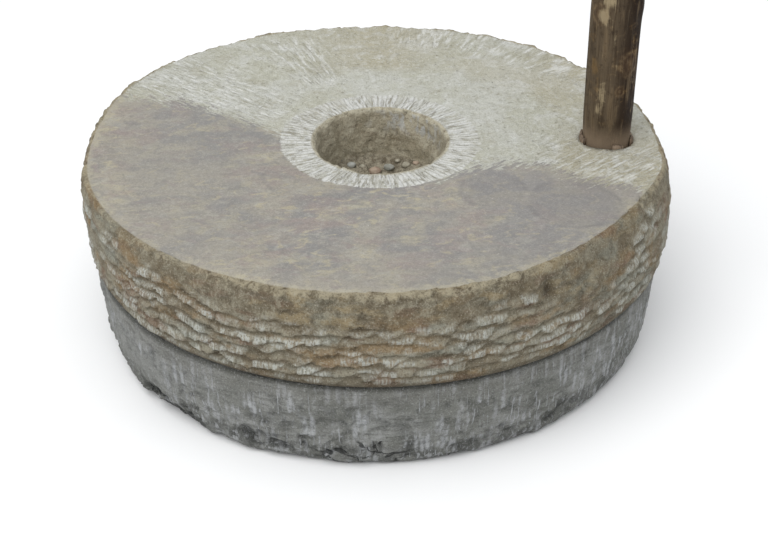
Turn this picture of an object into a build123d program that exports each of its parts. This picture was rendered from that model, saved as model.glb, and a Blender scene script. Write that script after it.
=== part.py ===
from build123d import *

import os
from math import atan2, degrees

# A rotary hand quern: a runner stone turns on an iron spindle that stands in a bed stone, and an
# upright pole wedged into the runner turns it. Grain goes into the hopper in the runner's top,
# falls past the rynd through the feed eye, and leaves at the rim as meal.
#
# Millimetres. +Z is up along the spindle. The origin is where that axis meets the floor, and +X
# runs from the spindle to the handle.

# Bed stone, the fixed lower stone: a barrelled side that tapers to the foot, and a low conical
# grinding face with a flat crown round the bush
BED_TOP_R = 243
BED_WAIST_R = 241.5
BED_FOOT_R = 233
BED_RIM_Z = 81
BED_CROWN_R = 34
BED_CROWN_Z = 86
BED_RIM_FILLET = 4
BED_FOOT_FILLET = 10

# Runner stone, the upper stone, which stands clear of the bed by a slit at the rim
RIM_GAP = 1
RUNNER_RIM_Z = BED_RIM_Z + RIM_GAP
RUNNER_TOP_Z = 162
RUNNER_TOP_R = 240
RUNNER_BULGE_R = 248
RUNNER_UNDER_R = 245
RUNNER_TOP_FILLET = 3.5
RUNNER_RIM_FILLET = 5
SWALLOW_Z = 92

# Hopper in the runner's top: a dressed ring round the mouth, a steep wall and a funnel floor
RING_R = 84.5
RING_DIP = 1
HOPPER_MOUTH_R = 59.5
HOPPER_FLOOR_R = 53
HOPPER_FLOOR_Z = 118
FEED_EYE_R = 30
FEED_EYE_TOP_Z = 112

# Furrows that are cut askew across both grinding faces and carry the meal outwards
FURROWS = 16
FURROW_INNER_R = 78
FURROW_OUTER_R = 230
FURROW_WIDTH = 6
FURROW_DEPTH = 2
FURROW_SKEW = 14

# Wooden bush that plugs the bed stone's tapered hole, and the iron spindle driven into it
BUSH_HOLE_TOP_R = 22
BUSH_HOLE_FOOT_R = 19
BUSH_TOP_Z = 80
BUSH_FOOT_Z = 3
TANG_FOOT_Z = 16
TANG_FOOT_SIDE = 9
TANG_TOP_SIDE = 14
COLLAR_R = 14
COLLAR_HEIGHT = 3
NECK_R = 8
SPINDLE_TIP_Z = 108
SPINDLE_TIP_FILLET = 4

# Leather thrust washers on the spindle, which set the gap between the grinding faces
WASHER_R = 15
WASHER_THICKNESS = 2
WASHER_NAMES = ("thrust_washer_lower", "thrust_washer_upper")

# Rynd, the iron bridge that turns on the spindle and carries the runner by two fishtail arms
RUNNING_CLEARANCE = 0.05
RYND_BOSS_R = 16
RYND_BOSS_HEIGHT = 16
RYND_ARM_FOOT_Z = 88.5
RYND_ARM_TOP_Z = 100
RYND_WAIST_WIDTH = 19
RYND_END_WIDTH = 28
RYND_REACH = 58
SLOT_CLEARANCE = 0.8

# Handle, a natural pole: height above the runner's top, sideways bow and radius down its length
HANDLE_X = 192
HANDLE_FOOT_R = 20
HANDLE_STATIONS = ((0, 0, 20), (65, -0.5, 20.3), (130, -0.4, 20.4), (190, 1, 19.8), (240, 3, 19))
HANDLE_TOP_FILLET = 6
SOCKET_TOP_R = 23
SOCKET_FOOT_R = 21.2
SOCKET_DEPTH = 55

# Handle wedges: bearing of each wedge's middle round the pole, its spread, and how far it stands up
WEDGES = {
    "handle_wedge_right": (0, 44, 3),
    "handle_wedge_back": (90, 50, 3),
    "handle_wedge_left": (182, 46, 5),
    "handle_wedge_front": (292, 26, 3),
}
WEDGE_DEPTH = 42
WEDGE_BEVEL = 1

# Air between pieces that touch in use
SLIT = 0.05

COLLAR_TOP_Z = BUSH_TOP_Z + COLLAR_HEIGHT
RYND_FOOT_Z = COLLAR_TOP_Z + len(WASHER_NAMES) * WASHER_THICKNESS
HANDLE_FOOT_Z = RUNNER_TOP_Z - SOCKET_DEPTH
TANG_STATIONS = ((TANG_FOOT_Z, TANG_FOOT_SIDE), (BUSH_TOP_Z, TANG_TOP_SIDE))


def between(low, high, share):
    """The value that lies a share of the way from low to high."""
    return low + (high - low) * share


def furrow_places(inner, outer):
    """Where the furrows lie on a conical face that passes through two (radius, height) points."""
    slope = (outer[1] - inner[1]) / (outer[0] - inner[0])
    middle_r = (FURROW_INNER_R + FURROW_OUTER_R) / 2
    middle_z = inner[1] + slope * (middle_r - inner[0])
    return Location((middle_r, 0, middle_z), (0, -degrees(atan2(slope, 1)), FURROW_SKEW))


def rynd_plan(clearance=0):
    """Adds the plan of the rynd's two arms, wider at their ends than at the waist, to a sketch."""
    reach = RYND_REACH + clearance
    waist = RYND_WAIST_WIDTH / 2 + clearance
    end = RYND_END_WIDTH / 2 + clearance
    Polygon((0, waist), (-reach, end), (-reach, -end), (0, -waist), (reach, -end), (reach, end), align=None)


os.makedirs("parts", exist_ok=True)

# Bed stone
with BuildPart() as bed_stone:
    with BuildSketch(Plane.XZ):
        with BuildLine():
            Polyline((BUSH_HOLE_FOOT_R, 0), (BED_FOOT_R, 0))
            ThreePointArc((BED_FOOT_R, 0), (BED_WAIST_R, BED_RIM_Z / 2), (BED_TOP_R, BED_RIM_Z))
            Polyline(
                (BED_TOP_R, BED_RIM_Z),
                (BED_CROWN_R, BED_CROWN_Z),
                (BUSH_HOLE_TOP_R, BED_CROWN_Z),
                (BUSH_HOLE_FOOT_R, 0),
            )
        make_face()
    revolve(axis=Axis.Z)
    bed_circles = bed_stone.edges().filter_by(GeomType.CIRCLE).sort_by(SortBy.RADIUS)
    fillet(bed_circles[-1], BED_RIM_FILLET)
    fillet(bed_stone.faces().sort_by(Axis.Z)[0].edges().sort_by(SortBy.RADIUS)[-1], BED_FOOT_FILLET)
    with PolarLocations(0, FURROWS):
        with Locations(furrow_places((BED_CROWN_R, BED_CROWN_Z), (BED_TOP_R, BED_RIM_Z))):
            Box(FURROW_OUTER_R - FURROW_INNER_R, FURROW_WIDTH, 2 * FURROW_DEPTH, mode=Mode.SUBTRACT)
bed_stone.part.label = "bed_stone"
export_step(bed_stone.part, "parts/bed_stone.step")

# Spindle bush: fills the bed stone's hole up to just under the crown, with a blind square hole
with BuildPart() as spindle_bush:
    for height in (BUSH_FOOT_Z, BUSH_TOP_Z):
        with BuildSketch(Plane.XY.offset(height)):
            Circle(between(BUSH_HOLE_FOOT_R, BUSH_HOLE_TOP_R, height / BED_CROWN_Z))
    loft()
    for height, side in TANG_STATIONS:
        with BuildSketch(Plane.XY.offset(height)):
            Rectangle(side, side)
    loft(mode=Mode.SUBTRACT)
spindle_bush.part.label = "spindle_bush"
export_step(spindle_bush.part, "parts/spindle_bush.step")

# Spindle: a square tapered tang in the bush, a collar on top of it and a round neck
with BuildPart() as spindle:
    for height, side in TANG_STATIONS:
        with BuildSketch(Plane.XY.offset(height)):
            Rectangle(side, side)
    loft()
    with BuildSketch(Plane.XY.offset(BUSH_TOP_Z)):
        Circle(COLLAR_R)
    extrude(amount=COLLAR_HEIGHT)
    with BuildSketch(Plane.XY.offset(COLLAR_TOP_Z)):
        Circle(NECK_R)
    extrude(amount=SPINDLE_TIP_Z - COLLAR_TOP_Z)
    fillet(spindle.faces().sort_by(Axis.Z)[-1].edges(), SPINDLE_TIP_FILLET)
spindle.part.label = "spindle"
export_step(spindle.part, "parts/spindle.step")

# Thrust washers, stacked on the collar
for index, washer_name in enumerate(WASHER_NAMES):
    with BuildPart() as thrust_washer:
        with BuildSketch(Plane.XY.offset(COLLAR_TOP_Z + index * WASHER_THICKNESS)):
            Circle(WASHER_R)
            Circle(NECK_R + RUNNING_CLEARANCE, mode=Mode.SUBTRACT)
        extrude(amount=WASHER_THICKNESS)
    thrust_washer.part.label = washer_name
    export_step(thrust_washer.part, f"parts/{washer_name}.step")

# Rynd: arms, boss and the bore that turns on the spindle's neck
with BuildPart() as rynd:
    with BuildSketch(Plane.XY.offset(RYND_ARM_FOOT_Z)):
        rynd_plan()
    extrude(amount=RYND_ARM_TOP_Z - RYND_ARM_FOOT_Z)
    with BuildSketch(Plane.XY.offset(RYND_FOOT_Z)):
        Circle(RYND_BOSS_R)
    extrude(amount=RYND_BOSS_HEIGHT)
    with BuildSketch(Plane.XY.offset(RYND_FOOT_Z)):
        Circle(NECK_R + RUNNING_CLEARANCE)
    extrude(amount=RYND_BOSS_HEIGHT, mode=Mode.SUBTRACT)
rynd.part.label = "rynd"
export_step(rynd.part, "parts/rynd.step")

# Runner stone
with BuildPart() as runner_stone:
    with BuildSketch(Plane.XZ):
        with BuildLine():
            Polyline((FEED_EYE_R, SWALLOW_Z), (RUNNER_UNDER_R, RUNNER_RIM_Z))
            ThreePointArc(
                (RUNNER_UNDER_R, RUNNER_RIM_Z),
                (RUNNER_BULGE_R, (RUNNER_RIM_Z + RUNNER_TOP_Z) / 2),
                (RUNNER_TOP_R, RUNNER_TOP_Z),
            )
            Polyline(
                (RUNNER_TOP_R, RUNNER_TOP_Z),
                (RING_R, RUNNER_TOP_Z),
                (HOPPER_MOUTH_R, RUNNER_TOP_Z - RING_DIP),
                (HOPPER_FLOOR_R, HOPPER_FLOOR_Z),
                (FEED_EYE_R, FEED_EYE_TOP_Z),
                (FEED_EYE_R, SWALLOW_Z),
            )
        make_face()
    revolve(axis=Axis.Z)
    rims = runner_stone.edges().filter_by(GeomType.CIRCLE).sort_by(SortBy.RADIUS)[-2:]
    under_rim, top_rim = rims.sort_by(Axis.Z)
    fillet(top_rim, RUNNER_TOP_FILLET)
    fillet(under_rim, RUNNER_RIM_FILLET)
    # Slots in the underside that drop over the rynd's arms
    with BuildSketch(Plane.XY.offset(RUNNER_RIM_Z)):
        rynd_plan(SLOT_CLEARANCE)
    extrude(amount=RYND_ARM_TOP_Z + SLIT - RUNNER_RIM_Z, mode=Mode.SUBTRACT)
    # Tapered socket for the handle
    for height, radius in ((HANDLE_FOOT_Z, SOCKET_FOOT_R), (RUNNER_TOP_Z, SOCKET_TOP_R)):
        with BuildSketch(Plane.XY.offset(height)):
            with Locations((HANDLE_X, 0)):
                Circle(radius)
    loft(mode=Mode.SUBTRACT)
    with PolarLocations(0, FURROWS):
        with Locations(furrow_places((FEED_EYE_R, SWALLOW_Z), (RUNNER_UNDER_R, RUNNER_RIM_Z))):
            Box(FURROW_OUTER_R - FURROW_INNER_R, FURROW_WIDTH, 2 * FURROW_DEPTH, mode=Mode.SUBTRACT)
runner_stone.part.label = "runner_stone"
export_step(runner_stone.part, "parts/runner_stone.step")

# Handle: a straight foot in the socket, and the naturally bowed pole above the stone
with BuildPart() as handle:
    with BuildSketch(Plane.XY.offset(HANDLE_FOOT_Z)):
        with Locations((HANDLE_X, 0)):
            Circle(HANDLE_FOOT_R)
    extrude(amount=SOCKET_DEPTH)
    for height, bow, radius in HANDLE_STATIONS:
        with BuildSketch(Plane.XY.offset(RUNNER_TOP_Z + height)):
            with Locations((HANDLE_X + bow, 0)):
                Circle(radius)
    loft()
    fillet(handle.faces().sort_by(Axis.Z)[-1].edges(), HANDLE_TOP_FILLET)
handle.part.label = "handle"
export_step(handle.part, "parts/handle.step")

# Handle wedges: each fills part of the tapered gap between the pole and its socket
wedge_inner_r = HANDLE_FOOT_R + SLIT
wedge_outer_r = SOCKET_TOP_R - SLIT
wedge_foot_r = between(SOCKET_TOP_R, SOCKET_FOOT_R, WEDGE_DEPTH / SOCKET_DEPTH) - SLIT
wedge_foot_z = RUNNER_TOP_Z - WEDGE_DEPTH
for wedge_name, (bearing, spread, proud) in WEDGES.items():
    pole_plane = Plane(origin=(HANDLE_X, 0, 0), x_dir=(1, 0, 0), z_dir=(0, -1, 0))
    wedge_plane = pole_plane.rotated((0, 0, bearing - spread / 2))
    wedge_top_z = RUNNER_TOP_Z + proud
    with BuildPart() as wedge:
        with BuildSketch(wedge_plane):
            with BuildLine():
                Polyline(
                    (wedge_inner_r, wedge_foot_z),
                    (wedge_foot_r, wedge_foot_z),
                    (wedge_outer_r, RUNNER_TOP_Z),
                    (wedge_outer_r, wedge_top_z - WEDGE_BEVEL),
                    (wedge_outer_r - WEDGE_BEVEL, wedge_top_z),
                    (wedge_inner_r, wedge_top_z),
                    close=True,
                )
            make_face()
        revolve(axis=Axis((HANDLE_X, 0, 0), (0, 0, 1)), revolution_arc=spread)
    wedge.part.label = wedge_name
    export_step(wedge.part, f"parts/{wedge_name}.step")
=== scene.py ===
"""The looks of a rotary hand quern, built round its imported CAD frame.

Shapes are worked out in millimetres and written in metres. Bearings are measured round +Z from +X,
the side of the handle; the camera stands at the front, on -Y.
"""

import functools
import itertools
import math

import bpy
import numpy as np
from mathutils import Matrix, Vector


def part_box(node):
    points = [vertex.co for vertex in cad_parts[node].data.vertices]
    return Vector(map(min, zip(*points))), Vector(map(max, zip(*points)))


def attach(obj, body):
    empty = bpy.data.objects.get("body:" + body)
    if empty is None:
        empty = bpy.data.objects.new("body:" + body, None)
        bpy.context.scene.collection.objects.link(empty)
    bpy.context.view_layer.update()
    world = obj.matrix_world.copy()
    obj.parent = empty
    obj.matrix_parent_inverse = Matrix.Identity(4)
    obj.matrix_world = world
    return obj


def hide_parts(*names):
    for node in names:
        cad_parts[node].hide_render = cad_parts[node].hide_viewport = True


MM = 0.001

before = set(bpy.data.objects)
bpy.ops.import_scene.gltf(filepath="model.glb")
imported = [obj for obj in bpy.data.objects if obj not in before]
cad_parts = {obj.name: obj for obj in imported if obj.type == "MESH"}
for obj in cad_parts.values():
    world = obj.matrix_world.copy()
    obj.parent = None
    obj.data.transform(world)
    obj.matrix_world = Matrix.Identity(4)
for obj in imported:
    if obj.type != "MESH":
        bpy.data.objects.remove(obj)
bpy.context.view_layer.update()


def box_mm(node):
    """Lowest and highest corner of a CAD node, in millimetres."""
    low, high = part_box(node)
    return np.array(low) / MM, np.array(high) / MM


# Driving sizes: what the frame says, and what a node's box doesn't show
BED_FOOT_Z, BED_CROWN_Z = (corner[2] for corner in box_mm("bed_stone"))
RUNNER_TOP_Z = box_mm("runner_stone")[1][2]
RUNNER_BULGE_R = box_mm("runner_stone")[1][0]
HANDLE_FOOT_Z, HANDLE_TOP_Z = (corner[2] for corner in box_mm("handle"))
SLOT_CEILING_Z = 100.1
SLOT_REACH = 58.8
SLOT_HALF_WIDTHS = (10.3, 14.8)

BED_RIM_Z = 81
BED_TOP_R = 243
BED_WAIST_R = 241.5
BED_CROWN_R = 34
BUSH_HOLE_R = (19, 22)

RUNNER_RIM_Z = 82
RUNNER_TOP_R = 240
RUNNER_UNDER_R = 245
SWALLOW_Z = 92
RING_R = 84.5
HOPPER_MOUTH_R = 59.5
HOPPER_FLOOR_R = 53
HOPPER_FLOOR_Z = 118
FEED_EYE_R = 30
FEED_EYE_TOP_Z = 112

HANDLE_X = 192
HANDLE_R = 20
SOCKET_TOP_R = 23
SOCKET_FOOT_R = 21.2
WEDGES = {
    "handle_wedge_right": (0, 44, 3),
    "handle_wedge_back": (90, 50, 3),
    "handle_wedge_left": (182, 46, 5),
    "handle_wedge_front": (292, 26, 3),
}
WEDGE_DEPTH = 42

FURROWS = 16
FURROW_REACH = (78, 230)
FURROW_WIDTH = 6
FURROW_DEPTH = 2
FURROW_SKEW = math.radians(14)

# How bright the light makes a white surface that faces up
BRIGHTNESS = 1.28

# Mesh density: cells in each furrow's sector on the grinding faces, and round a whole outer ring
COARSE_CELLS = 22
FINE = 2 * COARSE_CELLS * FURROWS


# ---- repeatable noise


def scatter(cells, seed):
    """A repeatable random number from 0 to 1 for each row of whole numbers."""
    key = np.full(cells.shape[:-1], seed + 1, np.uint64)
    for axis in range(cells.shape[-1]):
        key = (key ^ cells[..., axis].astype(np.int64).view(np.uint64)) * np.uint64(0x9E3779B97F4A7C15)
        key ^= key >> np.uint64(29)
    key *= np.uint64(0xBF58476D1CE4E5B9)
    key ^= key >> np.uint64(32)
    return (key >> np.uint64(11)).astype(float) / 2.0**53


def ease(share):
    """A smooth step over a share that is cut to 0 to 1."""
    share = np.clip(share, 0, 1)
    return share * share * (3 - 2 * share)


def noise(points, size, seed):
    """Smooth noise from -1 to 1 whose lumps are about size across."""
    turned = points @ TURN.T / size
    cell = np.floor(turned).astype(np.int64)
    near = ease(turned - cell)
    total = np.zeros(len(points))
    for corner in itertools.product((0, 1), repeat=3):
        weight = np.prod(np.where(corner, near, 1 - near), axis=1)
        total += weight * scatter(cell + corner, seed)
    return 2 * total - 1


def fractal(points, size, octaves, seed):
    """Noise with finer and weaker noise on top."""
    layers = [noise(points, size / 2**step, seed + step) / 2**step for step in range(octaves)]
    return np.sum(layers, axis=0)


def facets(points, size, seed):
    """Heights from -1 to 1 of a surface broken into flat facets about size across."""
    scaled = points @ TURN.T / size
    cell = np.floor(scaled).astype(np.int64)
    nearest = np.full(len(points), np.inf)
    height = np.zeros(len(points))
    for step in itertools.product((-1, 0, 1), repeat=3):
        other = cell + step
        centre = other + np.stack([scatter(other, seed + axis) for axis in range(3)], axis=1)
        tilt = np.stack([scatter(other, seed + 3 + axis) - 0.5 for axis in range(3)], axis=1)
        offset = scaled - centre
        distance = (offset**2).sum(axis=1)
        closer = distance < nearest
        nearest = np.where(closer, distance, nearest)
        height = np.where(closer, 2 * (offset * tilt).sum(axis=1) + scatter(other, seed + 6) - 0.5, height)
    return height


def bell(away):
    """A smooth hump from 0 to 1 round nought."""
    return np.exp(-(away**2))


def bump_round(bearing, centre, width):
    """A smooth hump from 0 to 1 round a bearing, both in degrees."""
    return bell(((bearing - centre + 180) % 360 - 180) / width)


# The noise lattice is turned, so that it never lines up with the stones' level faces
TURN = np.array([[0.36, 0.48, -0.80], [-0.80, 0.60, 0.00], [0.48, 0.64, 0.60]])


# ---- meshes


def make_piece(name, points, faces, fields=None):
    """A smooth-shaded object from points in millimetres, with named numbers kept on its points."""
    mesh = bpy.data.meshes.new(name)
    mesh.from_pydata((np.asarray(points) * MM).tolist(), [], faces)
    mesh.validate()
    mesh.shade_smooth()
    for label, values in (fields or {}).items():
        attribute = mesh.attributes.new(label, "FLOAT", "POINT")
        attribute.data.foreach_set("value", np.asarray(values, np.float32))
    piece = bpy.data.objects.new(name, mesh)
    bpy.context.scene.collection.objects.link(piece)
    return piece


def place(piece, body, node, slot, material):
    """Gives a piece its body and material, and hides the CAD node it stands for. The slot it is passed is
    not used.
    """
    piece.data.materials.append(material)
    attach(piece, body)
    if node:
        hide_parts(node)


def band(first, first_count, second, second_count):
    """Faces between two rings of points, equal in number or with one twice the other's."""
    steps = min(first_count, second_count)
    sides = []
    for start, count in ((first, first_count), (second, second_count)):
        wide = count // steps
        ring = [start + point % count for point in range(count + 1)]
        sides.append([ring[step * wide : (step + 1) * wide + 1] for step in range(steps)])
    return [low + high[::-1] for low, high in zip(*sides)]


def stitch(counts, closed):
    """Faces through a stack of rings that follow each other in one list of points."""
    rings = list(zip(np.cumsum([0, *counts]).tolist(), counts))
    others = rings[1:] + rings[:1] * closed
    return [face for low, high in zip(rings, others) for face in band(*low, *high)]


def span(start, end, steps):
    """Points from start up to but not including end."""
    share = np.linspace(0, 1, steps, endpoint=False)[:, None]
    return np.array(start) * (1 - share) + np.array(end) * share


def bowed(start, middle, end, steps):
    """Points on a curve through three points, up to but not including the last."""
    share = np.linspace(0, 1, steps, endpoint=False)[:, None]
    pull = 2 * np.array(middle) - (np.array(start) + np.array(end)) / 2
    return (1 - share) ** 2 * start + 2 * share * (1 - share) * pull + share**2 * end


def furrow_line(radius):
    """A furrow's centre line at a radius: its bearing from its sector's middle, and its slant."""
    middle = sum(FURROW_REACH) / 2
    radius = np.clip(radius, *FURROW_REACH)
    along = np.sqrt(radius**2 - (middle * math.sin(FURROW_SKEW)) ** 2) - middle * math.cos(FURROW_SKEW)
    turned = np.arctan2(along * math.sin(FURROW_SKEW), middle + along * math.cos(FURROW_SKEW))
    return turned, np.arcsin(middle * math.sin(FURROW_SKEW) / radius)


def furrow_ring(radius):
    """A coarse ring's bearings, gathered at the furrows' edges, and the share of full depth at each."""
    turned, slant = furrow_line(radius)
    half = math.pi / FURROWS
    edge = FURROW_WIDTH / 2 / (np.clip(radius, *FURROW_REACH) * math.cos(slant))
    knots = np.array([0, 8, 10, 14, 16, 24]) / 24
    places = np.array([-half, -1.15 * edge, -0.8 * edge, 0.8 * edge, 1.15 * edge, half])
    share = np.arange(COARSE_CELLS) / COARSE_CELLS
    inside = ease((radius - FURROW_REACH[0]) / 6) * ease((FURROW_REACH[1] - radius) / 6)
    follow = ease((radius - BED_CROWN_R) / 30) * ease((BED_TOP_R - 4 - radius) / 8)
    even = (share - 0.5) * 2 * half
    local = even + follow * (np.interp(share, knots, places) + turned - even)
    depth = inside * np.interp(share, knots, [0, 0, 1, 1, 0, 0])
    bearings = np.concatenate([local + 2 * half * sector for sector in range(FURROWS)])
    return bearings, np.tile(depth, FURROWS)


def outward(profile):
    """The outward normal (radius, height) of each row of a closed profile that runs up its outer side."""
    along = np.roll(profile, -1, axis=0) - np.roll(profile, 1, axis=0)
    along /= np.linalg.norm(along, axis=1)[:, None]
    return np.stack([along[:, 1], -along[:, 0]], axis=1)


def solid(bearing, radius, height):
    """Points in space from bearings, radii and heights."""
    return np.stack([radius * np.cos(bearing), radius * np.sin(bearing), height], axis=1)


def turned_stone(start, *sections):
    """The rings of a turned stone, whose profile runs from start through its sections back to start.

    A section is (zone, rings, is fine, end) or, where it bows, (zone, rings, is fine, end, middle). Gives
    the rings' counts, and each point's zone, radius, height, normal, bearing and share of furrow depth.
    """
    even = np.arange(FINE) / FINE * 2 * math.pi - math.pi / FURROWS
    zones, profile, rings = [], [], []
    for zone, steps, is_fine, end, *middle in sections:
        rows = bowed(start, *middle, end, steps) if middle else span(start, end, steps)
        zones += [zone] * steps
        profile += rows.tolist()
        rings += [(even, 0 * even) if is_fine else furrow_ring(radius) for radius, _ in rows]
        start = end
    counts = [len(bearings) for bearings, depth in rings]
    row = np.repeat(np.arange(len(profile)), counts)
    profile = np.array(profile)
    bearing, depth = (np.concatenate(values) for values in zip(*rings))
    return counts, np.array(zones)[row], *profile[row].T, outward(profile)[row], bearing, depth


# ---- stone surfaces


def outline(bearing):
    """How far the runner's top rim stands out of round, in millimetres."""
    hump = functools.partial(bump_round, np.degrees(bearing))
    swells = ((-42, 22, -5.5), (-11, 8, 4), (25, 18, 2), (62, 24, 3), (92, 14, -2), (142, 22, 3.5),
              (178, 14, -3), (-140, 35, 1.5))
    return 1.2 - 5 * np.cos(bearing) + sum(size * hump(centre, width) for centre, width, size in swells)


def below_outline(bearing, left_cut):
    """How far the stones stand off the spindle's axis below the rim, in millimetres."""
    hump = functools.partial(bump_round, np.degrees(bearing))
    return 1 - 4.5 * np.cos(bearing) - left_cut * hump(180, 48) + 2 * hump(-22, 16)


def sector(points, zones):
    """The strongest at each point of patches (bearing, spread, inner radius, outer radius, strength)."""
    degrees = np.degrees(np.arctan2(points[:, 1], points[:, 0]))
    radius = np.hypot(points[:, 0], points[:, 1])
    blur = 24
    strongest = np.zeros(len(points))
    for centre, spread, inner, outer, strength in zones:
        along = ease((radius - inner) / blur + 0.5) * ease((outer - radius) / blur + 0.5)
        strongest = np.maximum(strongest, strength * along * bump_round(degrees, centre, spread))
    return strongest


def chisel_marks(points, bearing, height, columns, tall, seed):
    """Irregular marks in rough courses, so many columns to a turn and so tall.

    Gives each point's lean towards the foot, gap to the next mark, strength and tone.
    """
    wander = 0.55 * noise(points, 55, seed) + 0.2 * noise(points, 17, seed + 1)
    sway = 0.5 * noise(points, 30, seed + 2)
    place = np.stack([bearing / (2 * math.pi) * columns + sway, -height / tall + wander], axis=1)
    clump = 0.2 + 0.5 * noise(points * [1, 1, 2], 34, seed + 7)
    cell = np.floor(place).astype(np.int64)
    nearest, second = np.full((2, len(points)), np.inf)
    lean, strength, tone = np.zeros((3, len(points)))
    for step in itertools.product((-1, 0, 1), repeat=2):
        other = cell + step
        mark = np.stack([other[:, 0] % columns, other[:, 1]], axis=1)
        jitter = np.stack([scatter(mark, seed + 3), 0.2 + 0.6 * scatter(mark, seed + 4)], axis=1)
        offset = place - other - jitter
        distance = (np.abs(offset) ** 2.6).sum(axis=1) ** (1 / 2.6)
        closer = distance < nearest
        second = np.where(closer, nearest, np.minimum(second, distance))
        nearest = np.where(closer, distance, nearest)
        lean = np.where(closer, offset[:, 1], lean)
        strength = np.where(closer, 0.6 * scatter(mark, seed + 5) + clump, strength)
        tone = np.where(closer, scatter(mark, seed + 6), tone)
    return lean, second - nearest, np.clip(strength, 0, 1), tone


def slot_half_width(x):
    """Half the width of the rynd's slot at a place along it."""
    return np.interp(np.abs(x), (0, SLOT_REACH), SLOT_HALF_WIDTHS)


def cut_slots(points, under):
    """Moves the underside's points onto the walls and ceiling of the rynd's slots."""
    half = slot_half_width(points[:, 0])
    reach = under & (np.abs(points[:, 0]) < SLOT_REACH)
    on_wall = reach & (np.abs(np.abs(points[:, 1]) - half) < 0.6)
    points[on_wall, 1] = np.sign(points[on_wall, 1]) * half[on_wall]
    inside = reach & (np.abs(points[:, 1]) < half - 0.1)
    points[inside, 2] = SLOT_CEILING_Z


def flattened(degrees):
    """How much the pole's foot, its wedge and the socket's edge are flat at the front, in millimetres."""
    return 3 * bump_round(degrees, -92, 42)


def cut_socket(points, top):
    """Moves the top's points down the walls and floor of the handle's tapered socket."""
    offset = points[:, :2] - [HANDLE_X, 0]
    distance = np.maximum(np.linalg.norm(offset, axis=1), 1e-6)
    rim, wall = 1.2, 6
    degrees = np.degrees(np.arctan2(offset[:, 1], offset[:, 0]))
    snug = flattened(degrees) + 1.6 * bump_round(degrees, -118, 24)
    near = top & (np.abs(distance - SOCKET_TOP_R) < rim)
    inside = top & (distance <= SOCKET_TOP_R - rim)
    share = np.clip((SOCKET_TOP_R - rim - distance) / wall, 0, 1)
    floor_share = distance / (SOCKET_TOP_R - rim - wall)
    wall_r = SOCKET_TOP_R + (SOCKET_FOOT_R - SOCKET_TOP_R) * share
    radius = np.where(share < 1, wall_r, SOCKET_FOOT_R * floor_share)
    radius = np.where(near, SOCKET_TOP_R - snug, radius)
    moved = near | inside
    points[moved, :2] = [HANDLE_X, 0] + offset[moved] / distance[moved, None] * radius[moved, None]
    points[inside, 2] -= (RUNNER_TOP_Z - HANDLE_FOOT_Z + 0.3) * share[inside]


def worn_edge(points):
    """How far each point lies inside the worn front part of the runner's top, in millimetres."""
    x = [-260, -215, -174, -128, -85, -60, 45, 77, 134, 179, 222, 260]
    y = [95, 79, 67, 44, 11, -25, -74, -48, -47, -78, -86, -90]
    return np.interp(points[:, 0], x, y) - points[:, 1]


# Chisel marks round the runner's side, the height of a course of them, and cuts in the hopper's ring
CHISEL_COLUMNS = 112
CHISEL_COURSE = 8.6
RING_CUTS = 112

# Patches of the runner's top: (bearing, spread, inner radius, outer radius, strength)
TOP_PATCHES = {
    "bold": ((152, 17, 100, 260, 1), (114, 10, 120, 228, 0.8), (58, 28, 196, 260, 1),
             (-17, 20, 130, 260, 0.6)),
    "tan": ((90, 18, 140, 260, 0.9), (-14, 20, 150, 260, 1), (-178, 18, 200, 260, 0.9),
            (-90, 60, 205, 260, 0.4), (55, 20, 150, 200, 0.5), (36, 14, 205, 260, 1),
            (30, 22, 160, 230, 0.7)),
    "lilac": ((-36, 20, 80, 225, 1), (-22, 9, 150, 245, 0.8), (160, 16, 110, 225, 0.5),
              (-75, 20, 120, 200, 0.4)),
    "dull": ((-163, 26, 110, 215, 1), (-132, 18, 150, 250, 0.8), (-85, 26, 200, 260, 0.8)),
}


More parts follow.
